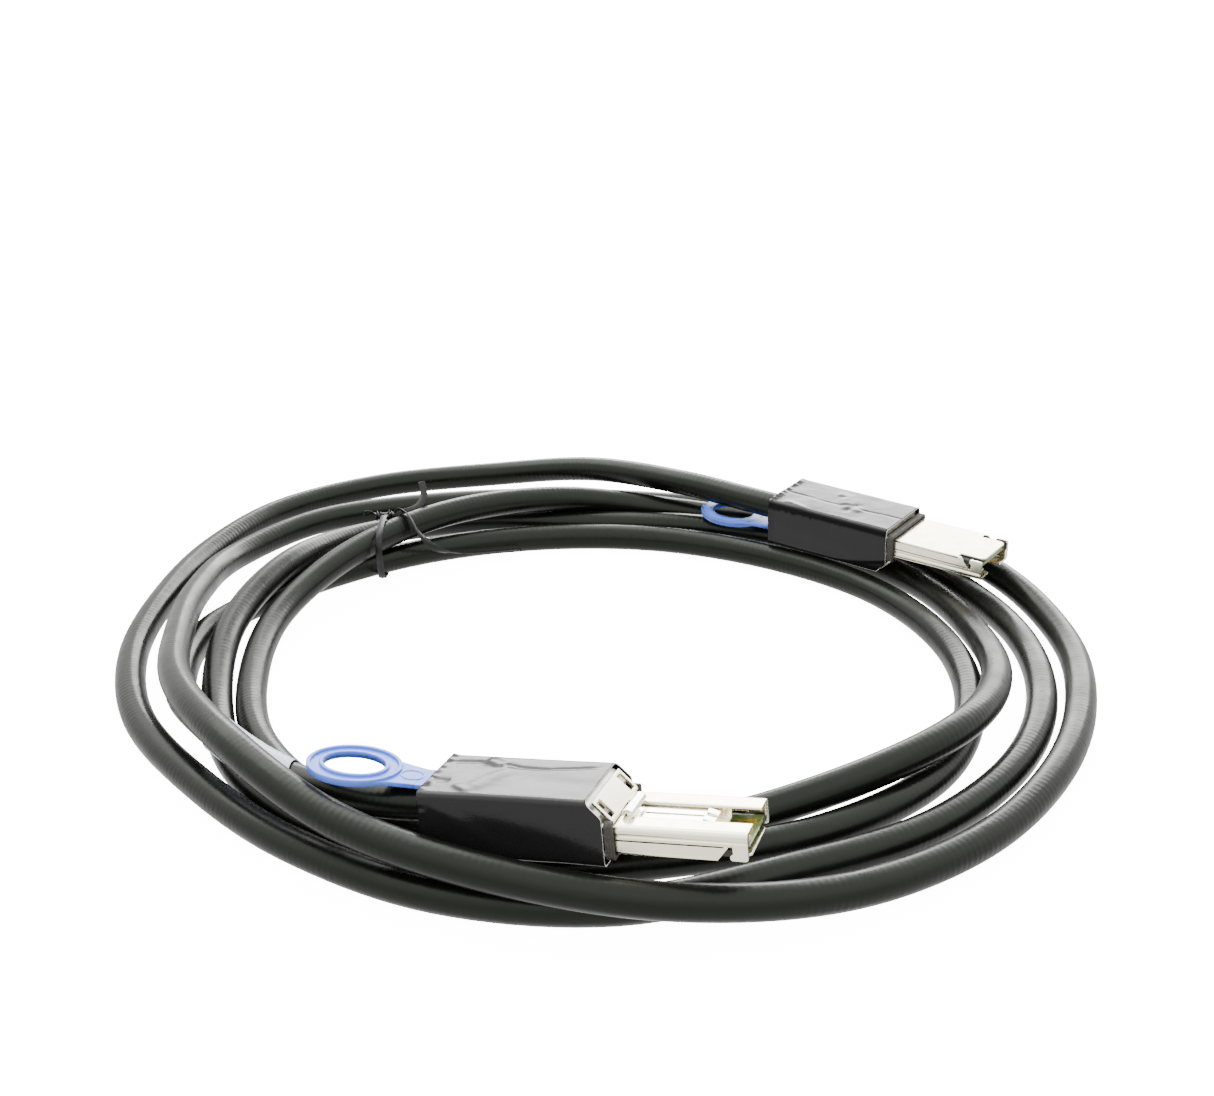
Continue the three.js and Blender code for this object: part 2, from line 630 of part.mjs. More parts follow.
// One plug, built in its own frame with x forward, and then turned and placed
function plug(prefix, place, turn, ringTilt) {
  const group = new THREE.Group();
  const pieces = [
    ["backshell_lower", backshellLower(), castMetal],
    ["backshell_upper", backshellUpper(), castMetal],
    ["tape_wrap", tapeWrap(), blackFilm],
    ["nose_lower", noseLower(), nickel],
    ["nose_upper", noseUpper(), nickel],
    ["gasket", gasket(), gasketFoam],
    ["paddle_card", paddleCard(), cardGreen],
    ["latch", latch(), springSteel],
    ["latch_cover", latchCover(), nickel],
    ["pull_tab", pullTab(ringTilt), tabBlue],
    ["ferrule", ferrule(), springSteel],
    ["wire_bundle", wireBundle(), wireGrey],
    ["rivet_left", rivet(1), nickel],
    ["rivet_right", rivet(-1), nickel],
  ];
  for (const [name, body, material] of pieces) {
    group.add(named(prefix + "_" + name, geometryOf(body), material));
  }
  const [yaw, pitch, roll] = turn.map((angle) => (angle * Math.PI) / 180);
  group.rotation.set(roll, pitch, yaw, "ZYX");
  group.position.set(place[0], place[1], place[2]);
  return group;
}

const sasCable = new THREE.Group();
sasCable.add(plug("front", frontPlugPlace, frontPlugTurn, frontRingTilt));
sasCable.add(plug("rear", rearPlugPlace, rearPlugTurn, rearRingTilt));
sasCable.add(named("cable", cable(), blackJacket));
sasCable.add(named("cable_label", cableLabel(), labelWhite));
sasCable.add(named("twist_tie", geometryOf(twistTie()), blackJacket));

export default sasCable;
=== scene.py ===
import math
import random

import bmesh
import bpy
from mathutils import Matrix, Vector, noise


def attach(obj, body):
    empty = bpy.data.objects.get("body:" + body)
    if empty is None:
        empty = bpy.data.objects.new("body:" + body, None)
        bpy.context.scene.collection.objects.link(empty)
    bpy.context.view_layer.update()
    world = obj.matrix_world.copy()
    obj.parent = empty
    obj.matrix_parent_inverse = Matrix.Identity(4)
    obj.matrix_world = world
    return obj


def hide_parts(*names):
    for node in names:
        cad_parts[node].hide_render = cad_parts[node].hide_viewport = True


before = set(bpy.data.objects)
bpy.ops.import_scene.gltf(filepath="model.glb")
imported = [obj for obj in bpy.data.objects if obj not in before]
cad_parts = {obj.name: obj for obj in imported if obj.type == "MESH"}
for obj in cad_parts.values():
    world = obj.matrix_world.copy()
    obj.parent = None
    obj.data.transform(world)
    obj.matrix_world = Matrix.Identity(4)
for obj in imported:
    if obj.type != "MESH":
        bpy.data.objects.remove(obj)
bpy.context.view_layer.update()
random.seed(7)
mm = 0.001
print("frame loaded")

# Camera: the photograph's own view
cameraValues = {"place": (-22.5, -401.0, 201.8), "pitchDown": 21.86, "lens": 50.34,
                "sensor": 36.0, "clip": (0.01, 50)}


def buildCamera(v):
    data = bpy.data.cameras.new("photoCamera")
    data.lens = v["lens"]
    data.sensor_width = v["sensor"]
    data.sensor_fit = "HORIZONTAL"
    data.dof.use_dof = False
    data.clip_start, data.clip_end = v["clip"]
    obj = bpy.data.objects.new("photoCamera", data)
    obj.location = Vector(v["place"]) * mm
    obj.rotation_euler = (math.radians(90 - v["pitchDown"]), 0, 0)
    bpy.context.scene.collection.objects.link(obj)
    bpy.context.scene.camera = obj


buildCamera(cameraValues)


# Materials
def nodeOf(tree, kind, **values):
    node = tree.nodes.new(kind)
    for key, value in values.items():
        setattr(node, key, value)
    return node


def makeMaterial(name, color, roughness, metallic=0.0):
    material = bpy.data.materials.new(name)
    material.use_nodes = True
    tree = material.node_tree
    shader = tree.nodes["Principled BSDF"]
    shader.inputs["Base Color"].default_value = (*color, 1)
    shader.inputs["Roughness"].default_value = roughness
    shader.inputs["Metallic"].default_value = metallic
    material.diffuse_color = (*color, 1)
    return material, tree, shader


def noiseOf(tree, scale, detail):
    origin = nodeOf(tree, "ShaderNodeTexCoord").outputs["Object"]
    texture = nodeOf(tree, "ShaderNodeTexNoise")
    texture.inputs["Scale"].default_value = scale
    texture.inputs["Detail"].default_value = detail
    tree.links.new(origin, texture.inputs["Vector"])
    return texture


def mapRange(tree, value, low, high, newLow, newHigh):
    node = nodeOf(tree, "ShaderNodeMapRange")
    node.inputs["From Min"].default_value = low
    node.inputs["From Max"].default_value = high
    node.inputs["To Min"].default_value = newLow
    node.inputs["To Max"].default_value = newHigh
    tree.links.new(value, node.inputs["Value"])
    return node.outputs["Result"]


def mixColor(tree, factor, first, second):
    node = nodeOf(tree, "ShaderNodeMix", data_type="RGBA")
    tree.links.new(factor, node.inputs[0])
    node.inputs[6].default_value = (*first, 1)
    node.inputs[7].default_value = (*second, 1)
    return node.outputs[2]


def bumpFrom(tree, height, distance, strength=1.0, normal=None):
    node = nodeOf(tree, "ShaderNodeBump")
    node.inputs["Distance"].default_value = distance
    node.inputs["Strength"].default_value = strength
    tree.links.new(height, node.inputs["Height"])
    if normal is not None:
        tree.links.new(normal, node.inputs["Normal"])
    return node.outputs["Normal"]


def roundedNormal(tree, radius):
    node = nodeOf(tree, "ShaderNodeBevel", samples=4)
    node.inputs["Radius"].default_value = radius
    return node.outputs["Normal"]


# Metal with softened edges, faint handling marks and a slightly uneven polish
def metalMaterial(name, v):
    material, tree, shader = makeMaterial(name, v["color"], v["roughness"], 1.0)
    marks = noiseOf(tree, v["markScale"], 4.0)
    rough = mapRange(tree, marks.outputs["Fac"], 0.3, 0.7,
                     v["roughness"] - v["spread"], v["roughness"] + v["spread"])
    tree.links.new(rough, shader.inputs["Roughness"])
    fine = noiseOf(tree, v["fineScale"], 2.0)
    normal = bumpFrom(tree, fine.outputs["Fac"], v["fineDepth"], 0.5, roundedNormal(tree, v["edge"]))
    tree.links.new(normal, shader.inputs["Normal"])
    return material


nickelValues = {"color": (0.84, 0.79, 0.62), "roughness": 0.24, "spread": 0.05, "markScale": 300,
                "fineScale": 2500, "fineDepth": 0.00001, "edge": 0.00018}
springValues = dict(nickelValues, color=(0.97, 0.95, 0.90), roughness=0.2)
castValues = dict(nickelValues, color=(0.60, 0.58, 0.53), roughness=0.42, spread=0.08, fineDepth=0.00004)
nickelMaterial = metalMaterial("nickel", nickelValues)
springMaterial = metalMaterial("springSteel", springValues)
castMaterial = metalMaterial("castShell", castValues)

gasketValues = {"color": (0.008, 0.007, 0.005), "light": (0.04, 0.037, 0.028), "roughness": 0.7,
                "grain": 2600, "depth": 0.00008}


def gasketMaterialOf(v):
    material, tree, shader = makeMaterial("gasketFoam", v["color"], v["roughness"])
    grain = noiseOf(tree, v["grain"], 2.0)
    share = mapRange(tree, grain.outputs["Fac"], 0.45, 0.7, 0, 1)
    tree.links.new(mixColor(tree, share, v["color"], v["light"]), shader.inputs["Base Color"])
    tree.links.new(bumpFrom(tree, grain.outputs["Fac"], v["depth"]), shader.inputs["Normal"])
    return material


gasketMaterial = gasketMaterialOf(gasketValues)
wireValues = {"color": (0.42, 0.44, 0.46), "roughness": 0.35, "metallic": 0.6}
wireMaterial = makeMaterial("wireFoil", **wireValues)[0]
print("materials made")


# Points along a smooth curve through the given ones, the same that the CAD follows
def centripetal(points, stepsPer):
    pts = [Vector(p) for p in points]
    pts = [2 * pts[0] - pts[1], *pts, 2 * pts[-1] - pts[-2]]
    out = []
    for i in range(1, len(pts) - 2):
        p0, p1, p2, p3 = pts[i - 1:i + 3]
        d0, d1, d2 = (max((b - a).length, 1e-4) ** 0.5 for a, b in ((p0, p1), (p1, p2), (p2, p3)))
        t1 = ((p1 - p0) / d0 - (p2 - p0) / (d0 + d1) + (p2 - p1) / d1) * d1
        t2 = ((p2 - p1) / d1 - (p3 - p1) / (d1 + d2) + (p3 - p2) / d2) * d1
        for k in range(stepsPer):
            t = k / stepsPer
            a = -3 * p1 + 3 * p2 - 2 * t1 - t2
            b = 2 * p1 - 2 * p2 + t1 + t2
            out.append(p1 + t1 * t + a * t * t + b * t ** 3)
    out.append(pts[-2])
    return out


def lengthsOf(points):
    total, out = 0.0, [0.0]
    for a, b in zip(points, points[1:]):
        total += (b - a).length
        out.append(total)
    return out


# Tangent, side and up at each point, carried along without twist
def framesOf(points, start=None):
    tangents = []
    for i in range(len(points)):
        a, b = points[max(i - 1, 0)], points[min(i + 1, len(points) - 1)]
        tangents.append((b - a).normalized())
    side = start or tangents[0].orthogonal()
    side = (side - tangents[0] * side.dot(tangents[0])).normalized()
    out = []
    for i, tangent in enumerate(tangents):
        if i:
            side = tangents[i - 1].rotation_difference(tangent) @ side
            side = (side - tangent * side.dot(tangent)).normalized()
        out.append((tangent, side, tangent.cross(side)))
    return out


def meshObject(name, verts, faces, material, matrix=None, smooth=True, uvs=None, paintedShades=None):
    mesh = bpy.data.meshes.new(name)
    if matrix is not None:
        verts = [matrix @ Vector(p) for p in verts]
    mesh.from_pydata([Vector(p) * mm for p in verts], [], faces)
    for one in material if isinstance(material, (list, tuple)) else [material]:
        mesh.materials.append(one)
    if smooth:
        mesh.polygons.foreach_set("use_smooth", [True] * len(mesh.polygons))
    if uvs:
        layer = mesh.uv_layers.new(name="route")
        flat = []
        for corners in uvs:
            for uv in corners:
                flat.extend(uv)
        layer.data.foreach_set("uv", flat)
    # Per-point painted shade, stored as a shade attribute for the material to read
    if paintedShades:
        attribute = mesh.attributes.new("shade", "FLOAT", "POINT")
        attribute.data.foreach_set("value", paintedShades)
    mesh.update()
    obj = bpy.data.objects.new(name, mesh)
    bpy.context.scene.collection.objects.link(obj)
    return obj


# Faces and corner places of a grid that closes round its columns
def gridFaces(rows, columns, flip=False):
    faces, corners = [], []
    for i in range(rows - 1):
        for j in range(columns):
            k = (j + 1) % columns
            face = (i * columns + j, i * columns + k, (i + 1) * columns + k, (i + 1) * columns + j)
            corner = ((j, i), (j + 1, i), (j + 1, i + 1), (j, i + 1))
            faces.append(face[::-1] if flip else face)
            corners.append(corner[::-1] if flip else corner)
    return faces, corners


def tube(name, points, radius, sides, material):
    runs = lengthsOf(points)
    verts = []
    for point, (_, side, up) in zip(points, framesOf(points)):
        for j in range(sides):
            angle = 2 * math.pi * j / sides
            verts.append(point + (side * math.cos(angle) + up * math.sin(angle)) * radius)
    faces, corners = gridFaces(len(points), sides)
    around = 2 * math.pi * radius / sides
    uvs = [[(c * around, runs[r]) for c, r in corner] for corner in corners]
    last = (len(points) - 1) * sides
    faces += [tuple(reversed(range(sides))), tuple(range(last, last + sides))]
    uvs += [[(0, 0)] * sides] * 2
    return meshObject(name, verts, faces, material, uvs=uvs)


# Each plug's own millimetres, x from its rear to its front, placed in the frame
def plugMatrix(place, turn):
    yaw, pitch, roll = (math.radians(a) for a in turn)
    turned = Matrix.Rotation(yaw, 4, "Z") @ Matrix.Rotation(pitch, 4, "Y") @ Matrix.Rotation(roll, 4, "X")
    return Matrix.Translation(Vector(place)) @ turned


plugs = {
    "front": plugMatrix((-57.8, -85, 9.1), (-17.9, -6.6, -4)),
    "rear": plugMatrix((32.8, 92.1, 23.4), (-37.1, 0.8, 184)),
}

# Cable: the whole length lies in view, from one plug round the coil to the other
cableValues = {"diameter": 8.0, "color": (0.0022, 0.0025, 0.0018), "roughness": 0.30, "specular": 0.17,
               "tint": (0.94, 1.0, 0.86), "stepsPer": 9, "sides": 28, "weavePitch": 3.4, "weaveSlope": 0.8,
               "weaveDepth": 0.00009, "weaveStrength": 0.3, "patchScale": 45, "lumpScale": 420,
               "lumpDepth": 0.00012, "smearScale": 90, "smoother": 0.06, "rougher": 0.08}
cableRoute = [
    (-58.7, -84.2, 15.9), (-71.6, -80, 14.3), (-93.5, -68.5, 13), (-118.5, -40, 12), (-133, -5.5, 5.5),
    (-133, 32, 4), (-111, 63, 4.5), (-80.5, 86, 5), (-45.5, 100.5, 4),
    (-7.5, 100, 4), (27.5, 85, 4), (55.5, 59, 4), (70, 24, 4),
    (70, -14.5, 4), (56, -50, 4), (28, -75.5, 4.5), (-7.5, -88, 4.5),
    (-45.5, -91, 4), (-81.5, -78.5, 4), (-108, -51, 4), (-121.5, -15.5, 4.5),
    (-125, 22.5, 9.5), (-115.5, 59, 12.5), (-98, 92.5, 8), (-66.5, 113, 5),
    (-28.5, 114, 4), (9.5, 108.5, 4.5), (43.5, 92, 4.5), (69, 63.5, 4.5),
    (79, 27, 5.5), (77, -11, 9.5), (60.5, -45, 13), (29.5, -66.5, 10),
    (-7, -77.5, 5), (-45, -80.5, 4.5), (-80.5, -68.5, 4.5), (-105, -39, 4.5),
    (-115, -2.5, 4.5), (-114, 35.5, 7.5), (-97, 69.5, 12.5), (-70.5, 96.5, 14.5),
    (-37, 115, 12), (0, 120.5, 6), (36, 108, 5.5), (67, 86, 13),
    (93, 59, 8.5), (103, 22.5, 5), (98, -15, 5), (83.5, -50.5, 5),
    (60, -80.5, 4.5), (28, -102, 5.5), (-8.5, -112, 9.5), (-46, -106.5, 12.5),
    (-80, -90.5, 15.5), (-108.5, -63.5, 20.5), (-127, -30.5, 18.5), (-135.5, 6.5, 14),
    (-139.5, 44.5, 9.5), (-136.5, 82.5, 5), (-115, 113.5, 5), (-80.5, 129.5, 4.5),
    (-42.5, 134, 4.5), (-4.5, 131.5, 4), (32, 120, 4), (61.5, 96.5, 4),
    (81, 63.5, 4), (91.5, 27, 4), (89, -11.5, 4), (74.5, -46.5, 4),
    (49, -75, 4), (15.5, -93.5, 4.5), (-20.5, -105.5, 4), (-58, -101, 4),
    (-91.5, -81.5, 4), (-118, -54.5, 4), (-139.5, -23, 4), (-150.5, 14, 4),
    (-151, 52, 4.5), (-145, 90, 4.5), (-129.5, 124.5, 4.5), (-100, 148.5, 4.5),
    (-62.5, 153, 7), (-27.5, 140, 13.5), (3, 116.5, 16.8),
    (21.8, 101, 17.1), (32.7, 92.8, 16.9),
]


# Satin jacket over a braid: a faint crossed weave shows in the sheen
def jacketMaterialOf(v):
    material, tree, shader = makeMaterial("jacket", v["color"], v["roughness"])
    shader.inputs["Specular IOR Level"].default_value = v["specular"]
    shader.inputs["Specular Tint"].default_value = (*v["tint"], 1)
    uv = nodeOf(tree, "ShaderNodeUVMap", uv_map="route").outputs["UV"]
    split = nodeOf(tree, "ShaderNodeSeparateXYZ")
    tree.links.new(uv, split.inputs["Vector"])
    waves = []
    for sign in (1, -1):
        along = nodeOf(tree, "ShaderNodeMath", operation="MULTIPLY_ADD")
        tree.links.new(split.outputs["X"], along.inputs[0])
        along.inputs[1].default_value = sign * v["weaveSlope"]
        tree.links.new(split.outputs["Y"], along.inputs[2])
        turn = nodeOf(tree, "ShaderNodeMath", operation="MULTIPLY")
        tree.links.new(along.outputs[0], turn.inputs[0])
        turn.inputs[1].default_value = 2 * math.pi / v["weavePitch"]
        wave = nodeOf(tree, "ShaderNodeMath", operation="SINE")
        tree.links.new(turn.outputs[0], wave.inputs[0])
        waves.append(wave.outputs[0])
    weave = nodeOf(tree, "ShaderNodeMath", operation="MULTIPLY")
    tree.links.new(waves[0], weave.inputs[0])
    tree.links.new(waves[1], weave.inputs[1])
    patch = noiseOf(tree, v["patchScale"], 2.0)
    share = mapRange(tree, patch.outputs["Fac"], 0.42, 0.62, 0.15, 1.0)
    height = nodeOf(tree, "ShaderNodeMath", operation="MULTIPLY")
    tree.links.new(weave.outputs[0], height.inputs[0])
    tree.links.new(share, height.inputs[1])
    lumps = noiseOf(tree, v["lumpScale"], 2.0)
    low = bumpFrom(tree, lumps.outputs["Fac"], v["lumpDepth"], 0.5)
    normal = bumpFrom(tree, height.outputs[0], v["weaveDepth"], v["weaveStrength"], low)
    tree.links.new(normal, shader.inputs["Normal"])
    smear = noiseOf(tree, v["smearScale"], 3.0)
    rough = mapRange(tree, smear.outputs["Fac"], 0.3, 0.7,
                     v["roughness"] - v["smoother"], v["roughness"] + v["rougher"])
    tree.links.new(rough, shader.inputs["Roughness"])
    return material


jacketMaterial = jacketMaterialOf(cableValues)
cablePath = centripetal(cableRoute, cableValues["stepsPer"])
cableRuns = lengthsOf(cablePath)
jacket = tube("jacket", cablePath, cableValues["diameter"] / 2, cableValues["sides"], jacketMaterial)
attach(jacket, "assembly")
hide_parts("cable")
print("cable made, length in mm", round(cableRuns[-1], 1))


# Points of the cable's centre line between two distances along it
def pathBetween(start, end, steps):
    out = []
    for i in range(steps + 1):
        target = start + (end - start) * i / steps
        k = next(j for j in range(1, len(cableRuns)) if cableRuns[j] >= target)
        share = (target - cableRuns[k - 1]) / (cableRuns[k] - cableRuns[k - 1])
        out.append(cablePath[k - 1].lerp(cablePath[k], share))
    return out


# Label: a bare film sleeve, its end by the plug cut at a slant
labelValues = {"start": 36.0, "end": 68.0, "slant": 2.6, "radius": 4.3, "film": 0.16,
               "color": (0.42, 0.48, 0.58), "shade": (0.30, 0.36, 0.48), "roughness": 0.38,
               "cloudScale": 260, "cloudDepth": 0.0003, "steps": 40, "sides": 40, "slantAt": 1.1,
               "lap": 0.14, "lapAt": 5.2, "lapWidth": 0.35, "wave": 0.06, "waveStep": 0.35,
               "waveRound": 1.6}


def buildLabel(v):
    material, tree, shader = makeMaterial("labelFilm", v["color"], v["roughness"])
    cloud = noiseOf(tree, v["cloudScale"], 3.0)
    share = mapRange(tree, cloud.outputs["Fac"], 0.35, 0.7, 0, 0.35)
    tree.links.new(mixColor(tree, share, v["color"], v["shade"]), shader.inputs["Base Color"])
    tree.links.new(bumpFrom(tree, cloud.outputs["Fac"], v["cloudDepth"], 0.5), shader.inputs["Normal"])
    points = pathBetween(v["start"], v["end"], v["steps"])
    frames = framesOf(points, Vector((0, 0, 1)))
    verts = []
    for i, (point, (tangent, side, up)) in enumerate(zip(points, frames)):
        near = 1 - i / v["steps"]
        for j in range(v["sides"]):
            angle = 2 * math.pi * j / v["sides"]
            c, s = math.cos(angle), math.sin(angle)
            lap = v["lap"] * math.exp(-((angle - v["lapAt"]) / v["lapWidth"]) ** 2)
            spot = Vector((i * v["waveStep"], c * v["waveRound"], s * v["waveRound"]))
            reach = v["radius"] + lap + v["wave"] * noise.noise(spot)
            shift = v["slant"] * near * near * math.cos(angle - v["slantAt"])
            verts.append(point + tangent * shift + (side * c + up * s) * reach)
    faces = gridFaces(v["steps"] + 1, v["sides"])[0]
    obj = meshObject("labelSleeve", verts, faces, material)
    solid = obj.modifiers.new("film", "SOLIDIFY")
    solid.thickness, solid.offset = v["film"] * mm, 1
    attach(obj, "assembly")
    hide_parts("cable_label")
    return obj


label = buildLabel(labelValues)

# Twist tie: a flat ribbon with a wire in it, twisted to a knot above the inner turns
tieValues = {"width": 2.1, "film": 0.22, "wire": 0.5, "color": (0.006, 0.006, 0.006), "roughness": 0.38,
             "specular": 0.2, "grainScale": 900, "grainDepth": 0.0001, "knotStart": (-93.8, 89.8, 15.6),
             "knotLength": 6.9, "knotTurns": 2.2, "knotRadius": 0.95, "knotWaist": 0.55, "knotSteps": 60}
# Loose threads at the cut end of the tie
threadValues = {"count": 3, "root": (-96.6, 89.7, 16.2), "rootStep": 0.4, "tip": (-97.4, 89.2, 15.7),
                "tipSpread": (0.9, 0.9, 0.5), "rise": 0.2, "width": 0.3, "film": 0.12, "wire": 0.14}
tieLoop = [
    (-90.5, 88.5, 15.9), (-90.5, 85, 17.6), (-90.5, 78, 18.2), (-90.5, 70.5, 16.8), (-90.5, 68, 12.5),
    (-90.5, 69.2, 8), (-90.5, 72, 2.6), (-90.5, 78, 0.6), (-90.5, 89, 0.7), (-90.5, 98, 2),
    (-90.5, 105, 5), (-90.5, 104.6, 10.6), (-90.5, 98, 12.8), (-90.5, 92, 14.4), (-90.5, 90.5, 15.2),
]
tieTailUp = [
    (-87.3, 88.6, 16.9), (-84.0, 89.6, 17.3), (-81.0, 92.5, 17.9), (-79.6, 96.5, 20.2),
    (-80.6, 99.5, 23.4),
]
tieTailAlong = [
    (-87.5, 88.6, 16.6), (-86, 86.5, 18.8), (-82.5, 81.5, 18.6), (-79.5, 79, 14), (-74.5, 80, 8.5),
    (-66.5, 85.4, 5), (-58.5, 89.6, 3.6), (-49.5, 93, 3),
]
tieStub = [(-93, 90, 15.6), (-95.2, 90.6, 16.4), (-97.6, 90.2, 16.2)]


# A ribbon's section swept along points. twist gives the turns at a share of the way
def ribbonVerts(points, v, start, twist):
    half, film, wire = v["width"] / 2, v["film"] / 2, v["wire"] / 2
    section = [(half, 0), (half * 0.92, film), (wire * 1.3, film), (0, wire), (-wire * 1.3, film),
               (-half * 0.92, film), (-half, 0), (-half * 0.92, -film), (-wire * 1.3, -film), (0, -wire),
               (wire * 1.3, -film), (half * 0.92, -film)]
    verts = []
    frames = framesOf(points, start)
    for i, (point, (_, side, up)) in enumerate(zip(points, frames)):
        turn = 2 * math.pi * twist(i / (len(points) - 1))
        c, s = math.cos(turn), math.sin(turn)
        for a, b in section:
            verts.append(point + side * (a * c - b * s) + up * (a * s + b * c))
    faces = gridFaces(len(points), len(section))[0]
    last = (len(points) - 1) * len(section)
    faces += [tuple(reversed(range(len(section)))), tuple(range(last, last + len(section)))]
    return verts, faces


def buildTie(v, threads):
    material, tree, shader = makeMaterial("tieFilm", v["color"], v["roughness"])
    grain = noiseOf(tree, v["grainScale"], 2.0)
    tree.links.new(bumpFrom(tree, grain.outputs["Fac"], v["grainDepth"], 0.6), shader.inputs["Normal"])
    shader.inputs["Specular IOR Level"].default_value = v["specular"]
    strands = [
        (centripetal(tieLoop, 8), Vector((1, 0, 0)), lambda t: 0.04 * math.sin(7 * t)),
        (centripetal(tieTailUp, 10), Vector((1, 0, 0)), lambda t: 0.12 * (1 - t)),
        (centripetal(tieTailAlong, 9), Vector((0, 0, 1)),
         lambda t: 0.1 + 0.5 / (1 + math.exp(-14 * (t - 0.55)))),
        (centripetal(tieStub, 8), Vector((0, 1, 0)), lambda t: 0.2 * t),
    ]
    knotX, knotY, knotZ = v["knotStart"]
    for phase in (0, math.pi):
        helix = []
        for i in range(v["knotSteps"] + 1):
            t = i / v["knotSteps"]
            turn = phase + 2 * math.pi * v["knotTurns"] * t
            reach = v["knotRadius"] * (v["knotWaist"] + (1 - v["knotWaist"]) * math.sin(math.pi * t))
            helix.append(Vector((knotX + v["knotLength"] * t, knotY + reach * math.cos(turn),
                                 knotZ + reach * math.sin(turn))))
        strands.append((helix, Vector((0, 1, 0)), lambda t: 2.0 * t))
    firstThread = len(strands)
    rootX, rootY, rootZ = threads["root"]
    tipX, tipY, tipZ = threads["tip"]
    spreadX, spreadY, spreadZ = threads["tipSpread"]
    for k in range(threads["count"]):
        tip = Vector((tipX - spreadX * random.random(), tipY + spreadY * k,
                      tipZ + spreadZ * random.random()))
        root = Vector((rootX, rootY + threads["rootStep"] * k, rootZ))
        middle = (root + tip) / 2 + Vector((0, 0, threads["rise"]))
        strands.append(([root, middle, tip], Vector((0, 0, 1)), lambda t: 0.0))
    verts, faces = [], []
    for number, (points, start, twist) in enumerate(strands):
        more, added = ribbonVerts(points, threads if number >= firstThread else v, start, twist)
        base = len(verts)
        verts += more
        faces += [tuple(i + base for i in face) for face in added]
    obj = meshObject("tieRibbon", verts, faces, material)
    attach(obj, "assembly")
    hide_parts("twist_tie")


buildTie(tieValues, threadValues)
print("label and tie made")

# Tape: black film wrapped round each housing, creased, with torn ends
housing = {"length": 40.4, "width": 20.4, "height": 13.8, "corner": 1.0, "slope": 51.0}
# The film's shade colour and lower shine are painted shade on the lapped side and along the seam
filmValues = {"color": (0.006, 0.006, 0.006), "shade": (0.003, 0.003, 0.003),
              "edgeHighlight": (0.62, 0.62, 0.60), "roughness": 0.2, "edgeRoughness": 0.3,
              "specular": 0.2, "paintedShadeSpecular": 0.05, "rippleScale": 170, "rippleDepth": 0.00025,
              "fineScale": 1500, "fineDepth": 0.00005, "thickness": 0.28, "stepX": 0.5, "stepAround": 0.5,
              "start": 0.15, "tear": 0.35, "jag": 0.12, "frontTear": 0.1,
              "tearSeed": {"front": 3.1, "rear": 8.4}, "swell": 0.07, "swellScale": 0.16,
              "curlReach": 2.2, "curl": 0.35, "curlTear": 0.5, "sink": 0.3}
# Where the rear plug's tape laps over itself on one side: its lower edge and its seam, below which the
# film sinks and is painted darker as shade
lapValues = {"top": 14.4, "fall": 0.006, "begin": 8, "power": 1.95, "slope": 0.28, "sink": 0.5,
             "shade": 0.7, "paintedShadeSlope": 0.5, "seam": 2.1, "seamFall": 0.012, "seamWave": 0.35,
             "seamSink": 0.28}
# Each crease: two ends in the plug's own millimetres, half width and height
filmCreases = {
    "front": [
        ((15.5, 3.2, 13.8), (10.4, -7.0, 13.8), 2.4, 0.24),
        ((9.5, 7.6, 13.8), (13.8, 5.0, 13.8), 1.5, 0.34),
        ((13.8, 6.0, 13.8), (17.5, 4.6, 13.8), 0.7, -0.22),
        ((17.5, 4.6, 13.8), (24.0, 4.4, 13.8), 0.55, -0.24),
        ((24.0, 4.4, 13.8), (34.6, 6.4, 13.8), 0.45, -0.2),
        ((2.3, 6.0, 13.8), (8.6, 6.6, 13.8), 0.6, -0.22),
        ((7.0, -5.4, 13.8), (10.7, -8.4, 13.8), 0.9, 0.14),
        ((1.0, -4.0, 13.8), (4.6, -3.4, 13.8), 1.1, -0.16),
        ((19.0, 0.5, 13.8), (35.0, -2.5, 13.8), 2.8, -0.14),
        ((11.0, -9.3, 13.8), (34.0, -9.3, 13.8), 0.5, 0.12),
        ((4.0, -10.2, 11.0), (16.0, -10.2, 4.0), 1.8, 0.16),
        ((12.0, -10.2, 6.5), (33.0, -10.2, 2.2), 2.4, -0.2),
        ((3.0, 10.2, 10.0), (30.0, 10.2, 5.0), 1.6, 0.18),
        ((6.0, 3.0, 0.0), (25.0, -5.0, 0.0), 1.2, 0.2),
    ],
    "rear": [
        ((15.6, -5.6, 0.0), (20.4, -4.6, 0.0), 1.5, 0.2),
        ((19.2, -3.6, 0.0), (21.4, 0.4, 0.0), 1.9, 0.26),
        ((21.4, 1.4, 0.0), (27.5, 1.9, 0.0), 1.7, 0.16),
        ((23.4, 5.0, 0.0), (24.6, -1.4, 0.0), 1.0, -0.14),
        ((1.4, 1.2, 0.0), (18.6, 1.7, 0.0), 0.22, -0.2),
        ((26.0, 1.2, 0.0), (40.0, 0.8, 0.0), 0.22, -0.2),
        ((5.0, 7.5, 0.0), (12.0, 9.2, 0.0), 0.9, 0.22),
        ((4.0, 10.2, 6.5), (30.0, 10.2, 8.5), 2.2, 0.14),
        ((8.0, -10.2, 4.0), (30.0, -10.2, 9.0), 1.5, 0.2),
        ((5.0, -3.0, 13.8), (30.0, 4.0, 13.8), 1.4, 0.2),
    ],
}


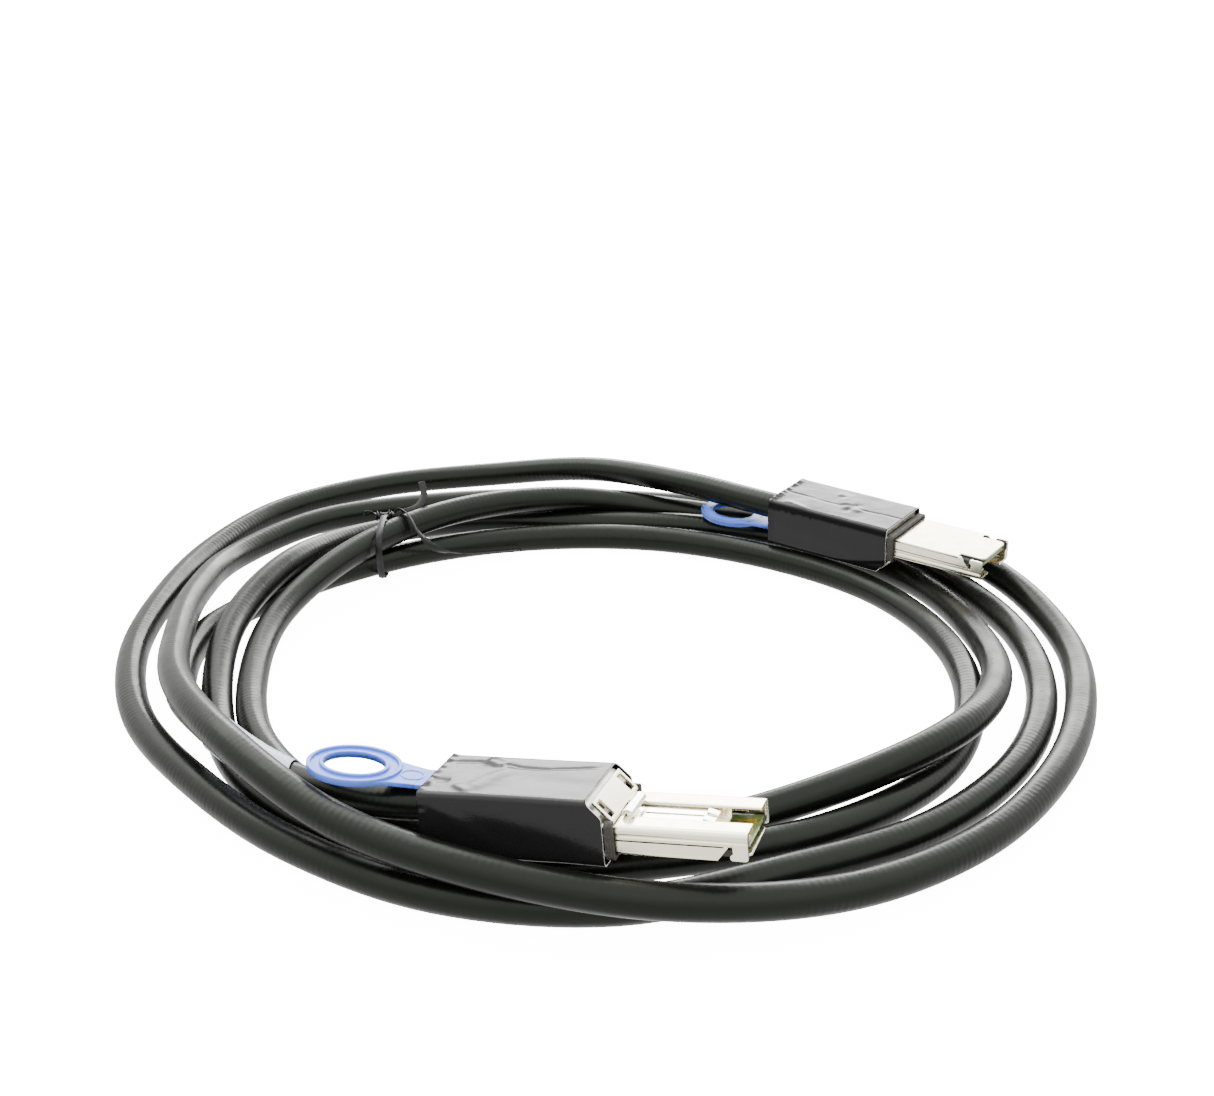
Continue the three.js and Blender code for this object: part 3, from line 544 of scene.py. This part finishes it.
def filmMaterialOf(v):
    made = []
    # The edge material colours the black film's cut edges light grey: a painted highlight
    for name, color, roughness in (("tapeFilm", v["color"], v["roughness"]),
                                   ("tapeEdgeHighlight", v["edgeHighlight"], v["edgeRoughness"])):
        material, tree, shader = makeMaterial(name, color, roughness)
        if name == "tapeFilm":
            # Painted shade: where the shade attribute is set, the film's colour goes darker and its shine
            # weaker
            shade = nodeOf(tree, "ShaderNodeAttribute", attribute_name="shade").outputs["Fac"]
            tree.links.new(mixColor(tree, shade, color, v["shade"]), shader.inputs["Base Color"])
            shine = mapRange(tree, shade, 0, 1, v["specular"], v["paintedShadeSpecular"])
            tree.links.new(shine, shader.inputs["Specular IOR Level"])
            ripple = noiseOf(tree, v["rippleScale"], 3.0)
            fine = noiseOf(tree, v["fineScale"], 2.0)
            low = bumpFrom(tree, ripple.outputs["Fac"], v["rippleDepth"], 0.4)
            normal = bumpFrom(tree, fine.outputs["Fac"], v["fineDepth"], 0.4, low)
            tree.links.new(normal, shader.inputs["Normal"])
        made.append(material)
    return made


# Place and outward direction (y, z, ny, nz) round the housing's section, from a top corner
def housingOutline(v, step):
    half, top, r = v["width"] / 2, v["height"], v["corner"]
    out = []
    centres = [(half - r, top - r, 90), (half - r, r, 0), (-half + r, r, -90),
               (-half + r, top - r, -180)]
    for i, (cy, cz, begin) in enumerate(centres):
        for k in range(5):
            a = math.radians(begin - 22.5 * k)
            out.append((cy + r * math.cos(a), cz + r * math.sin(a), math.cos(a), math.sin(a)))
        ny, nz = out[-1][2:]
        nextY, nextZ, nextBegin = centres[(i + 1) % 4]
        b = math.radians(nextBegin)
        end = (nextY + r * math.cos(b), nextZ + r * math.sin(b))
        span = math.hypot(end[0] - out[-1][0], end[1] - out[-1][1])
        count = max(2, round(span / step))
        first = out[-1]
        for k in range(1, count):
            out.append((first[0] + (end[0] - first[0]) * k / count,
                        first[1] + (end[1] - first[1]) * k / count, ny, nz))
    return out


# Lift of the film at a point. past is how far a crease fades out beyond its ends
def creaseHeight(point, creases, past=0.15):
    total = 0.0
    for a, b, width, height in creases:
        a, b = Vector(a), Vector(b)
        line = b - a
        share = (point - a).dot(line) / line.length_squared
        if -past < share < 1 + past:
            gap = (point - (a + line * share)).length / width
            fade = min(1.0, (share + past) / (2 * past), (1 + past - share) / (2 * past))
            total += height * fade * math.exp(-gap * gap)
    return total


# How far the film sinks at a place on the lapped side, and how much painted shade it gets there: some
# below the lap's lower edge, full along the seam
def lapAt(x, z, v):
    sink, paintedShade = 0.0, 0.0
    over = z - (v["top"] - v["fall"] * max(0.0, x - v["begin"]) ** v["power"])
    if over > 0:
        sink = min(v["sink"], v["slope"] * over)
        paintedShade = min(v["shade"], v["paintedShadeSlope"] * over)
    seam = v["seam"] - v["seamFall"] * x + v["seamWave"] * noise.noise(Vector((x * 0.5, 2.0, 0)))
    if z < seam:
        sink += v["seamSink"]
        paintedShade = 1.0
    return sink, paintedShade


def buildFilm(prefix, v, materials):
    outline = housingOutline(housing, v["stepAround"])
    rows = round(housing["length"] / v["stepX"])
    verts, paintedShades = [], []
    for i in range(rows + 1):
        share = i / rows
        for y, z, ny, nz in outline:
            tear = noise.noise(Vector((y * 0.9, z * 0.9, v["tearSeed"][prefix])))
            jag = noise.noise(Vector((y * 3.1, z * 3.1, 5.7)))
            rear = v["start"] + v["tear"] * tear + v["jag"] * jag
            front = min(housing["length"], housing["slope"] - z) + v["frontTear"] * tear
            x = rear + (front - rear) * share
            place = Vector((x, y, z))
            lift = creaseHeight(place, filmCreases[prefix])
            lift += v["swell"] * noise.noise(place * v["swellScale"] + Vector((11, 0, 0)))
            edge = max(0.0, 1 - (x - rear) / v["curlReach"])
            lift += edge * edge * (v["curl"] + v["curlTear"] * tear)
            lapped = prefix == "rear" and ny > 0.9
            # The lapped side sinks and takes painted shade, kept per point for the tape's material
            sink, paintedShade = lapAt(x, z, lapValues) if lapped else (0.0, 0.0)
            verts.append(place + Vector((0, ny, nz)) * max(lift - sink, -v["sink"]))
            paintedShades.append(paintedShade)
    faces = gridFaces(rows + 1, len(outline))[0]
    obj = meshObject(prefix + "Tape", verts, faces, materials, plugs[prefix], paintedShades=paintedShades)
    solid = obj.modifiers.new("film", "SOLIDIFY")
    solid.thickness, solid.offset = v["thickness"] * mm, -1
    # The film's rims take the light grey edge material, a painted highlight
    solid.material_offset_rim = 1
    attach(obj, "assembly")
    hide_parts(prefix + "_tape_wrap")


filmMaterials = filmMaterialOf(filmValues)
for prefix in plugs:
    buildFilm(prefix, filmValues, filmMaterials)
print("tape made")

# Pull tab: soft blue moulding with raised rims and a bare oval on its neck
tabValues = {"color": (0.075, 0.15, 0.62), "deep": (0.05, 0.11, 0.50), "roughness": 0.36, "glow": 0.25,
             "glowColors": (0.2, 0.35, 1.0), "glowDepth": 0.0015, "cloudScale": 350, "cloudDepth": 0.00015,
             "ringLength": 21.5, "ringWidth": 17.6, "band": 3.7, "rim": 0.9, "thickness": 1.6,
             "plate": 1.05, "gap": 8.6, "neckAngle": 0.82, "neckWide": 0.62, "neckNarrow": 0.55,
             "neckBack": 0.80, "ovalPlace": -5.6, "ovalOuter": (2.7, 2.2), "ovalInner": (2.45, 1.95),
             "ovalHeight": 0.14, "sunk": 0.05, "bend": -3.5, "bottom": 11.8, "strapHalf": 4.0,
             "strapEnd": 33.7, "strapThickness": 1.0, "strapLap": 0.1, "footLength": 2.0, "footWidth": 3.4,
             "footBottom": 8.0, "footBack": 0.15, "footLap": 0.2, "tilt": {"front": 7.5, "rear": 0.0}}


def tabMaterialOf(v):
    material, tree, shader = makeMaterial("tabBlue", v["color"], v["roughness"])
    shader.inputs["Subsurface Weight"].default_value = v["glow"]
    shader.inputs["Subsurface Radius"].default_value = v["glowColors"]
    shader.inputs["Subsurface Scale"].default_value = v["glowDepth"]
    cloud = noiseOf(tree, v["cloudScale"], 3.0)
    share = mapRange(tree, cloud.outputs["Fac"], 0.35, 0.7, 0, 0.5)
    tree.links.new(mixColor(tree, share, v["color"], v["deep"]), shader.inputs["Base Color"])
    tree.links.new(bumpFrom(tree, cloud.outputs["Fac"], v["cloudDepth"], 0.5), shader.inputs["Normal"])
    return material


# A flat plate, with holes where outlines lie inside one another, and a small rounded edge
def flatPlate(name, outlines, z0, z1, edge, material, matrix):
    data = bpy.data.curves.new(name, "CURVE")
    data.dimensions = "2D"
    data.fill_mode = "BOTH"
    data.extrude = (z1 - z0) / 2 - edge
    data.bevel_depth = edge
    data.bevel_resolution = 2
    data.offset = -edge
    for outline in outlines:
        spline = data.splines.new("POLY")
        spline.points.add(len(outline) - 1)
        for point, (x, y) in zip(spline.points, outline):
            point.co = (x, y, 0, 1)
        spline.use_cyclic_u = True
    temp = bpy.data.objects.new(name, data)
    bpy.context.scene.collection.objects.link(temp)
    graph = bpy.context.evaluated_depsgraph_get()
    mesh = bpy.data.meshes.new_from_object(temp.evaluated_get(graph))
    bpy.data.objects.remove(temp)
    mesh.materials.clear()
    mesh.materials.append(material)
    mesh.transform(Matrix.Diagonal((mm, mm, mm, 1)) @ matrix @ Matrix.Translation((0, 0, (z0 + z1) / 2)))
    obj = bpy.data.objects.new(name, mesh)
    bpy.context.scene.collection.objects.link(obj)
    return obj


def ellipse(cx, a, b, count=96, start=0.0, end=2 * math.pi):
    steps = count if start == 0.0 else count - 1
    angles = [start + (end - start) * i / steps for i in range(count)]
    return [(cx + a * math.cos(angle), b * math.sin(angle)) for angle in angles]


def joined(objects, name):
    for other in bpy.context.selected_objects:
        other.select_set(False)
    for one in objects:
        one.select_set(True)
    bpy.context.view_layer.objects.active = objects[0]
    bpy.ops.object.join()
    objects[0].name = objects[0].data.name = name
    return objects[0]


def boxObject(name, low, high, material, matrix):
    spans = list(zip(low, high))
    verts = [(x, y, z) for x in spans[0] for y in spans[1] for z in spans[2]]
    faces = [(0, 1, 3, 2), (4, 6, 7, 5), (0, 4, 5, 1), (2, 3, 7, 6), (0, 2, 6, 4), (1, 5, 7, 3)]
    return meshObject(name, verts, faces, material, matrix, smooth=False)


def buildTab(prefix, v, material):
    cx = -v["gap"] - v["ringLength"] / 2
    a, b = v["ringLength"] / 2, v["ringWidth"] / 2
    z0, bend, half = v["bottom"], v["bend"], v["strapHalf"]
    top = z0 + v["plate"]
    pivot = Vector((bend, 0, z0))
    lean = (Matrix.Translation(pivot) @ Matrix.Rotation(math.radians(v["tilt"][prefix]), 4, "Y")
            @ Matrix.Translation(-pivot))
    leaning = plugs[prefix] @ lean
    outer = ellipse(cx, a, b, 84, v["neckAngle"], 2 * math.pi - v["neckAngle"])
    neck = [(cx + a * v["neckBack"], b * v["neckWide"]), (cx + a, b * v["neckNarrow"]), (bend, half)]
    outer += [(x, -y) for x, y in neck] + neck[::-1]
    hole = ellipse(cx, a - v["band"], b - v["band"])
    plate = flatPlate("tabPlate", [outer, hole], z0, top, 0.15, material, leaning)
    rimOut = flatPlate("tabRim", [ellipse(cx, a, b), ellipse(cx, a - v["rim"], b - v["rim"])],
                       z0, z0 + v["thickness"], 0.2, material, leaning)
    inset = v["band"] - v["rim"]
    rimIn = flatPlate("tabRimInner", [ellipse(cx, a - inset, b - inset), hole],
                      z0, z0 + v["thickness"], 0.2, material, leaning)
    ovals = [ellipse(v["ovalPlace"], *size, 48) for size in (v["ovalOuter"], v["ovalInner"])]
    oval = flatPlate("tabOval", ovals, top - v["sunk"], top + v["ovalHeight"], 0.03, material, leaning)
    begin, end = bend - v["strapLap"], v["strapEnd"]
    strap = flatPlate("tabStrap", [[(begin, -half), (end, -half), (end, half), (begin, half)]],
                      z0, z0 + v["strapThickness"], 0.12, material, plugs[prefix])
    foot = boxObject("tabFoot", (end - v["footLength"], -v["footWidth"] / 2, v["footBottom"]),
                     (end - v["footBack"], v["footWidth"] / 2, z0 + v["footLap"]), material, plugs[prefix])
    obj = joined([plate, rimOut, rimIn, oval, strap, foot], prefix + "Tab")
    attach(obj, prefix + "_tab")
    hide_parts(prefix + "_pull_tab")


tabMaterial = tabMaterialOf(tabValues)
for prefix in plugs:
    buildTab(prefix, tabValues, tabMaterial)
print("pull tabs made")

# Paddle cards: green board with gold contacts on both faces
cardValues = {"board": (0.055, 0.105, 0.020), "light": (0.12, 0.16, 0.03), "roughness": 0.3,
              "gold": (0.80, 0.56, 0.16), "goldRoughness": 0.25, "cloudScale": 900, "rear": 24.2,
              "front": 69.3, "half": 7.6, "bottom": 4.0, "top": 5.0, "count": 13, "pitch": 0.8,
              "padWidth": 0.5, "padLength": 4.2, "padHeight": 0.1, "padSunk": 0.02, "padEdge": 0.5,
              "shorter": 0.8}


def buildCard(prefix, v, boardMaterial, goldMaterial):
    matrix = plugs[prefix]
    pieces = [boxObject("cardBoard", (v["rear"], -v["half"], v["bottom"]),
                        (v["front"], v["half"], v["top"]), boardMaterial, matrix)]
    begin = v["front"] - v["padEdge"] - v["padLength"]
    faces = ((v["top"] - v["padSunk"], v["top"] + v["padHeight"]),
             (v["bottom"] - v["padHeight"], v["bottom"] + v["padSunk"]))
    for i in range(v["count"]):
        y = (i - (v["count"] - 1) / 2) * v["pitch"]
        end = begin + v["padLength"] - (v["shorter"] if i % 3 == 1 else 0.0)
        for z0, z1 in faces:
            pieces.append(boxObject("cardPad", (begin, y - v["padWidth"] / 2, z0),
                                    (end, y + v["padWidth"] / 2, z1), goldMaterial, matrix))
    obj = joined(pieces, prefix + "Card")
    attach(obj, "assembly")
    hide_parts(prefix + "_paddle_card")


def boardMaterialOf(v):
    material, tree, shader = makeMaterial("cardBoard", v["board"], v["roughness"])
    cloud = noiseOf(tree, v["cloudScale"], 2.0)
    share = mapRange(tree, cloud.outputs["Fac"], 0.4, 0.65, 0, 0.6)
    tree.links.new(mixColor(tree, share, v["board"], v["light"]), shader.inputs["Base Color"])
    return material


boardMaterial = boardMaterialOf(cardValues)
goldMaterial = makeMaterial("contactGold", cardValues["gold"], cardValues["goldRoughness"], 1.0)[0]
for prefix in plugs:
    buildCard(prefix, cardValues, boardMaterial, goldMaterial)
print("cards made")

# Nose shells: stamped sheet with a rolled bead along each side and notched front corners
noseValues = {"rear": 39.7, "front": 70.0, "half": 9.05, "bottom": 2.5, "sheet": 0.6, "top": 8.5,
              "wallTop": 5.3, "notchRear": 62.7, "notchHalf": 6.7, "corner": 1.0, "plateEdge": 0.12,
              "railInner": 3.45, "recess": 6.2, "recessEnd": 63.7, "recessStep": 0.15, "radius": 1.2,
              "lap": 0.02, "legRear": 66.8, "legInner": 7.1, "legTop": 6.2, "legGap": 0.15,
              "capThickness": 0.4}
# The rail's side from below: each corner's distance in from the shell's side, and its height
noseBead = [(0.1, 6.2), (0.3, 6.4), (0.28, 6.6), (0.06, 6.85), (0.0, 7.05)]


# A closed outline pushed along x (outline in y, z) or along y (outline in x, z)
def extruded(name, outline, low, high, axis, material, matrix):
    count = len(outline)
    if axis == "x":
        verts = [(x, a, b) for x in (low, high) for a, b in outline]
    else:
        verts = [(a, y, b) for y in (low, high) for a, b in outline]
    faces = [(i, (i + 1) % count, count + (i + 1) % count, count + i) for i in range(count)]
    faces += [tuple(reversed(range(count))), tuple(range(count, 2 * count))]
    obj = meshObject(name, verts, faces, material, matrix, smooth=False)
    clean = bmesh.new()
    clean.from_mesh(obj.data)
    bmesh.ops.recalc_face_normals(clean, faces=clean.faces)
    clean.to_mesh(obj.data)
    clean.free()
    return obj


# Half of the upper shell's section, from its lower edge up and over the rail
def railSide(v, inset):
    half, top, r = v["half"] - inset, v["top"] - inset, v["radius"] - inset / 2
    bead = [(half - noseBead[0][0], v["wallTop"] + 0.3)] + [(half - y, z) for y, z in noseBead]
    for k in range(7):
        a = math.radians(15 * k)
        bead.append((half - r + r * math.cos(a), top - r + r * math.sin(a)))
    inner = v["railInner"] + inset
    return bead + [(inner + 0.45, top), (inner + 0.12, top - 0.12), (inner, top - 0.45)]


# A leg at the front of the side wall: its outline in x and z, hooked back at its lower end
def legOutline(v):
    back, front, low, top = v["legRear"], v["front"], v["bottom"] + v["legGap"], v["legTop"]
    return [(back, top), (back + 0.15, low + 1.5), (back - 0.45, low + 1.0), (back - 0.5, low + 0.45),
            (back - 0.15, low + 0.05), (back + 0.4, low), (front - 0.5, low), (front - 0.1, low + 0.2),
            (front, low + 0.6), (front, top)]


# The closed front of a rail, down to the foot of the leg: its outline in y and z
def capOutline(v):
    inner, half, low, top = v["legInner"], v["half"], v["bottom"] + v["legGap"] + 0.3, v["top"] - 0.05
    return [(inner, 5.2), (inner, top), (half - 1.1, top), (half - 0.1, 7.3), (half - 0.1, low),
            (half - 0.9, low), (half - 0.9, 5.2)]


def buildNoseUpper(prefix, v, material):
    matrix, front, end = plugs[prefix], v["front"], v["recessEnd"]
    outer, inner = railSide(v, 0), railSide(v, v["sheet"])
    step = v["railInner"] - v["recessStep"]
    right = outer + [(step, v["recess"])]
    rightIn = inner + [(step + v["sheet"], v["recess"] - v["sheet"])]
    mirror = [(-a, b) for a, b in reversed(right)]
    mirrorIn = [(-a, b) for a, b in reversed(rightIn)]
    section = right + mirror + list(reversed(rightIn + mirrorIn))
    pieces = [extruded("noseBody", section, v["rear"], end, "x", material, matrix)]
    for side in (1, -1):
        rail = [(side * a, b) for a, b in outer + list(reversed(inner))]
        pieces.append(extruded("noseRail", rail, end - v["lap"], front, "x", material, matrix))
        y0, y1 = sorted((side * v["half"], side * (v["half"] - v["sheet"])))
        pieces.append(extruded("noseLeg", legOutline(v), y0, y1, "y", material, matrix))
        cap = [(side * a, b) for a, b in capOutline(v)]
        pieces.append(extruded("noseCap", cap, front - v["capThickness"], front - v["lap"], "x",
                               material, matrix))
    obj = joined(pieces, prefix + "NoseUpper")
    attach(obj, "assembly")
    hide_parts(prefix + "_nose_upper")


def buildNoseLower(prefix, v, material):
    matrix, rear, bottom = plugs[prefix], v["rear"], v["bottom"]
    notch, inner, cut, half = v["notchRear"], v["notchHalf"], v["corner"], v["half"]
    edge = [(rear, half), (notch, half), (notch, inner), (v["front"] - cut, inner),
            (v["front"], inner - cut)]
    outline = edge + [(x, -y) for x, y in reversed(edge)]
    pieces = [flatPlate("nosePlate", [outline], bottom, bottom + v["sheet"], v["plateEdge"],
                        material, matrix)]
    wall = [(rear, bottom + 0.05), (notch + 1.0, bottom + 0.05), (notch + 3.2, v["wallTop"]),
            (rear, v["wallTop"])]
    for side in (1, -1):
        y0, y1 = sorted((side * (half - v["lap"]), side * (half - v["sheet"])))
        pieces.append(extruded("noseWall", wall, y0, y1, "y", material, matrix))
    obj = joined(pieces, prefix + "NoseLower")
    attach(obj, "assembly")
    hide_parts(prefix + "_nose_lower")


# Painted shade: black strips inside the nose, behind its notches, made up so that the notches look
# shadowed and black
paintedShadeStripValues = {"color": (0.006, 0.006, 0.005), "roughness": 0.6, "rear": 62.0, "front": 69.4,
                 "inner": 6.6, "outer": 8.3, "bottom": 3.25, "top": 4.6}


def buildPaintedShadeStrips(prefix, v, material):
    strips = []
    for side in (1, -1):
        y0, y1 = sorted((side * v["inner"], side * v["outer"]))
        strips.append(boxObject("paintedShadeStrip", (v["rear"], y0, v["bottom"]),
                                (v["front"], y1, v["top"]), material, plugs[prefix]))
    obj = joined(strips, prefix + "PaintedShadeStrips")
    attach(obj, "assembly")


# Flat black material for the painted shade strips
paintedShadeStripMaterial = makeMaterial("paintedShadeBlack", paintedShadeStripValues["color"], paintedShadeStripValues["roughness"])[0]
for prefix in plugs:
    buildPaintedShadeStrips(prefix, paintedShadeStripValues, paintedShadeStripMaterial)
    buildNoseUpper(prefix, noseValues, nickelMaterial)
    buildNoseLower(prefix, noseValues, nickelMaterial)
print("nose shells made")

# CAD nodes that stay in view
nodeMaterials = {
    "backshell_lower": castMaterial, "backshell_upper": castMaterial, "gasket": gasketMaterial,
    "latch": springMaterial, "latch_cover": nickelMaterial, "ferrule": springMaterial,
    "wire_bundle": wireMaterial,
    "rivet_left": nickelMaterial, "rivet_right": nickelMaterial,
}
for prefix in plugs:
    for key, material in nodeMaterials.items():
        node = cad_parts[prefix + "_" + key]
        node.data.materials.clear()
        node.data.materials.append(material)

# Floor, light and surroundings: a bright white studio
stageValues = {"floor": (0.90, 0.90, 0.90), "roughness": 0.9, "specular": 0.1, "glow": 14.0,
               "reach": 7500, "drop": 0.1, "sides": 48, "sky": 3.6, "below": 0.55, "horizon": 0.5}
# The backdrop's rings: radius and height, in millimetres
backdropRings = [(5000, 20), (6000, 150), (6800, 600), (7300, 1400), (7500, 3000), (7500, 9000)]
# Each lamp: place and size in metres, and power
lampValues = {
    "keyLight": ((-0.5, 0.6, 1.1), (1.2, 0.9), 16.0),
    "fillLight": ((0.7, -0.9, 0.9), (0.8, 0.8), 0.5),
    "rimLight": ((0.3, 1.3, 0.5), (1.4, 0.5), 30.0),
}


# An area lamp that points at the middle of the frame
def areaLight(name, place, size, power):
    data = bpy.data.lights.new(name, "AREA")
    data.shape, data.size, data.size_y = "RECTANGLE", size[0], size[1]
    data.energy = power
    obj = bpy.data.objects.new(name, data)
    obj.location = place
    obj.rotation_euler = (-Vector(place)).to_track_quat("-Z", "Y").to_euler()
    bpy.context.scene.collection.objects.link(obj)


# Floor and backdrop are seen by the camera, and stay out of the part's reflections
def buildStage(v):
    material, _, shader = makeMaterial("floorWhite", v["floor"], v["roughness"])
    shader.inputs["Emission Color"].default_value = (1, 1, 1, 1)
    shader.inputs["Emission Strength"].default_value = v["glow"]
    shader.inputs["Specular IOR Level"].default_value = v["specular"]
    reach, sides = v["reach"], v["sides"]
    corners = [(-reach, -reach), (reach, -reach), (reach, reach), (-reach, reach)]
    floor = meshObject("floor", [(x, y, -v["drop"]) for x, y in corners], [(0, 1, 2, 3)], material,
                       smooth=False)
    floor.visible_diffuse = floor.visible_glossy = False
    turns = [2 * math.pi * j / sides for j in range(sides)]
    verts = [(r * math.cos(turn), r * math.sin(turn), h) for r, h in backdropRings for turn in turns]
    faces = gridFaces(len(backdropRings), sides, flip=True)[0]
    backdrop = meshObject("backdrop", verts, faces, material)
    backdrop.visible_diffuse = backdrop.visible_glossy = backdrop.visible_shadow = False


# Sky that is brightest overhead and dims towards and below the horizon
def buildSky(v):
    world = bpy.data.worlds.new("studio")
    bpy.context.scene.world = world
    world.use_nodes = True
    tree = world.node_tree
    back = tree.nodes["Background"]
    place = nodeOf(tree, "ShaderNodeTexCoord").outputs["Generated"]
    split = nodeOf(tree, "ShaderNodeSeparateXYZ")
    tree.links.new(place, split.inputs["Vector"])
    low = mapRange(tree, split.outputs["Z"], -0.3, 0.05, v["below"], v["horizon"])
    high = mapRange(tree, split.outputs["Z"], 0.05, 0.75, 0.0, 1.0 - v["horizon"])
    both = nodeOf(tree, "ShaderNodeMath", operation="ADD")
    tree.links.new(low, both.inputs[0])
    tree.links.new(high, both.inputs[1])
    tree.links.new(both.outputs[0], back.inputs["Color"])
    back.inputs["Strength"].default_value = v["sky"]


buildStage(stageValues)
buildSky(stageValues)
for name, (place, size, power) in lampValues.items():
    areaLight(name, place, size, power)
print("stage made")
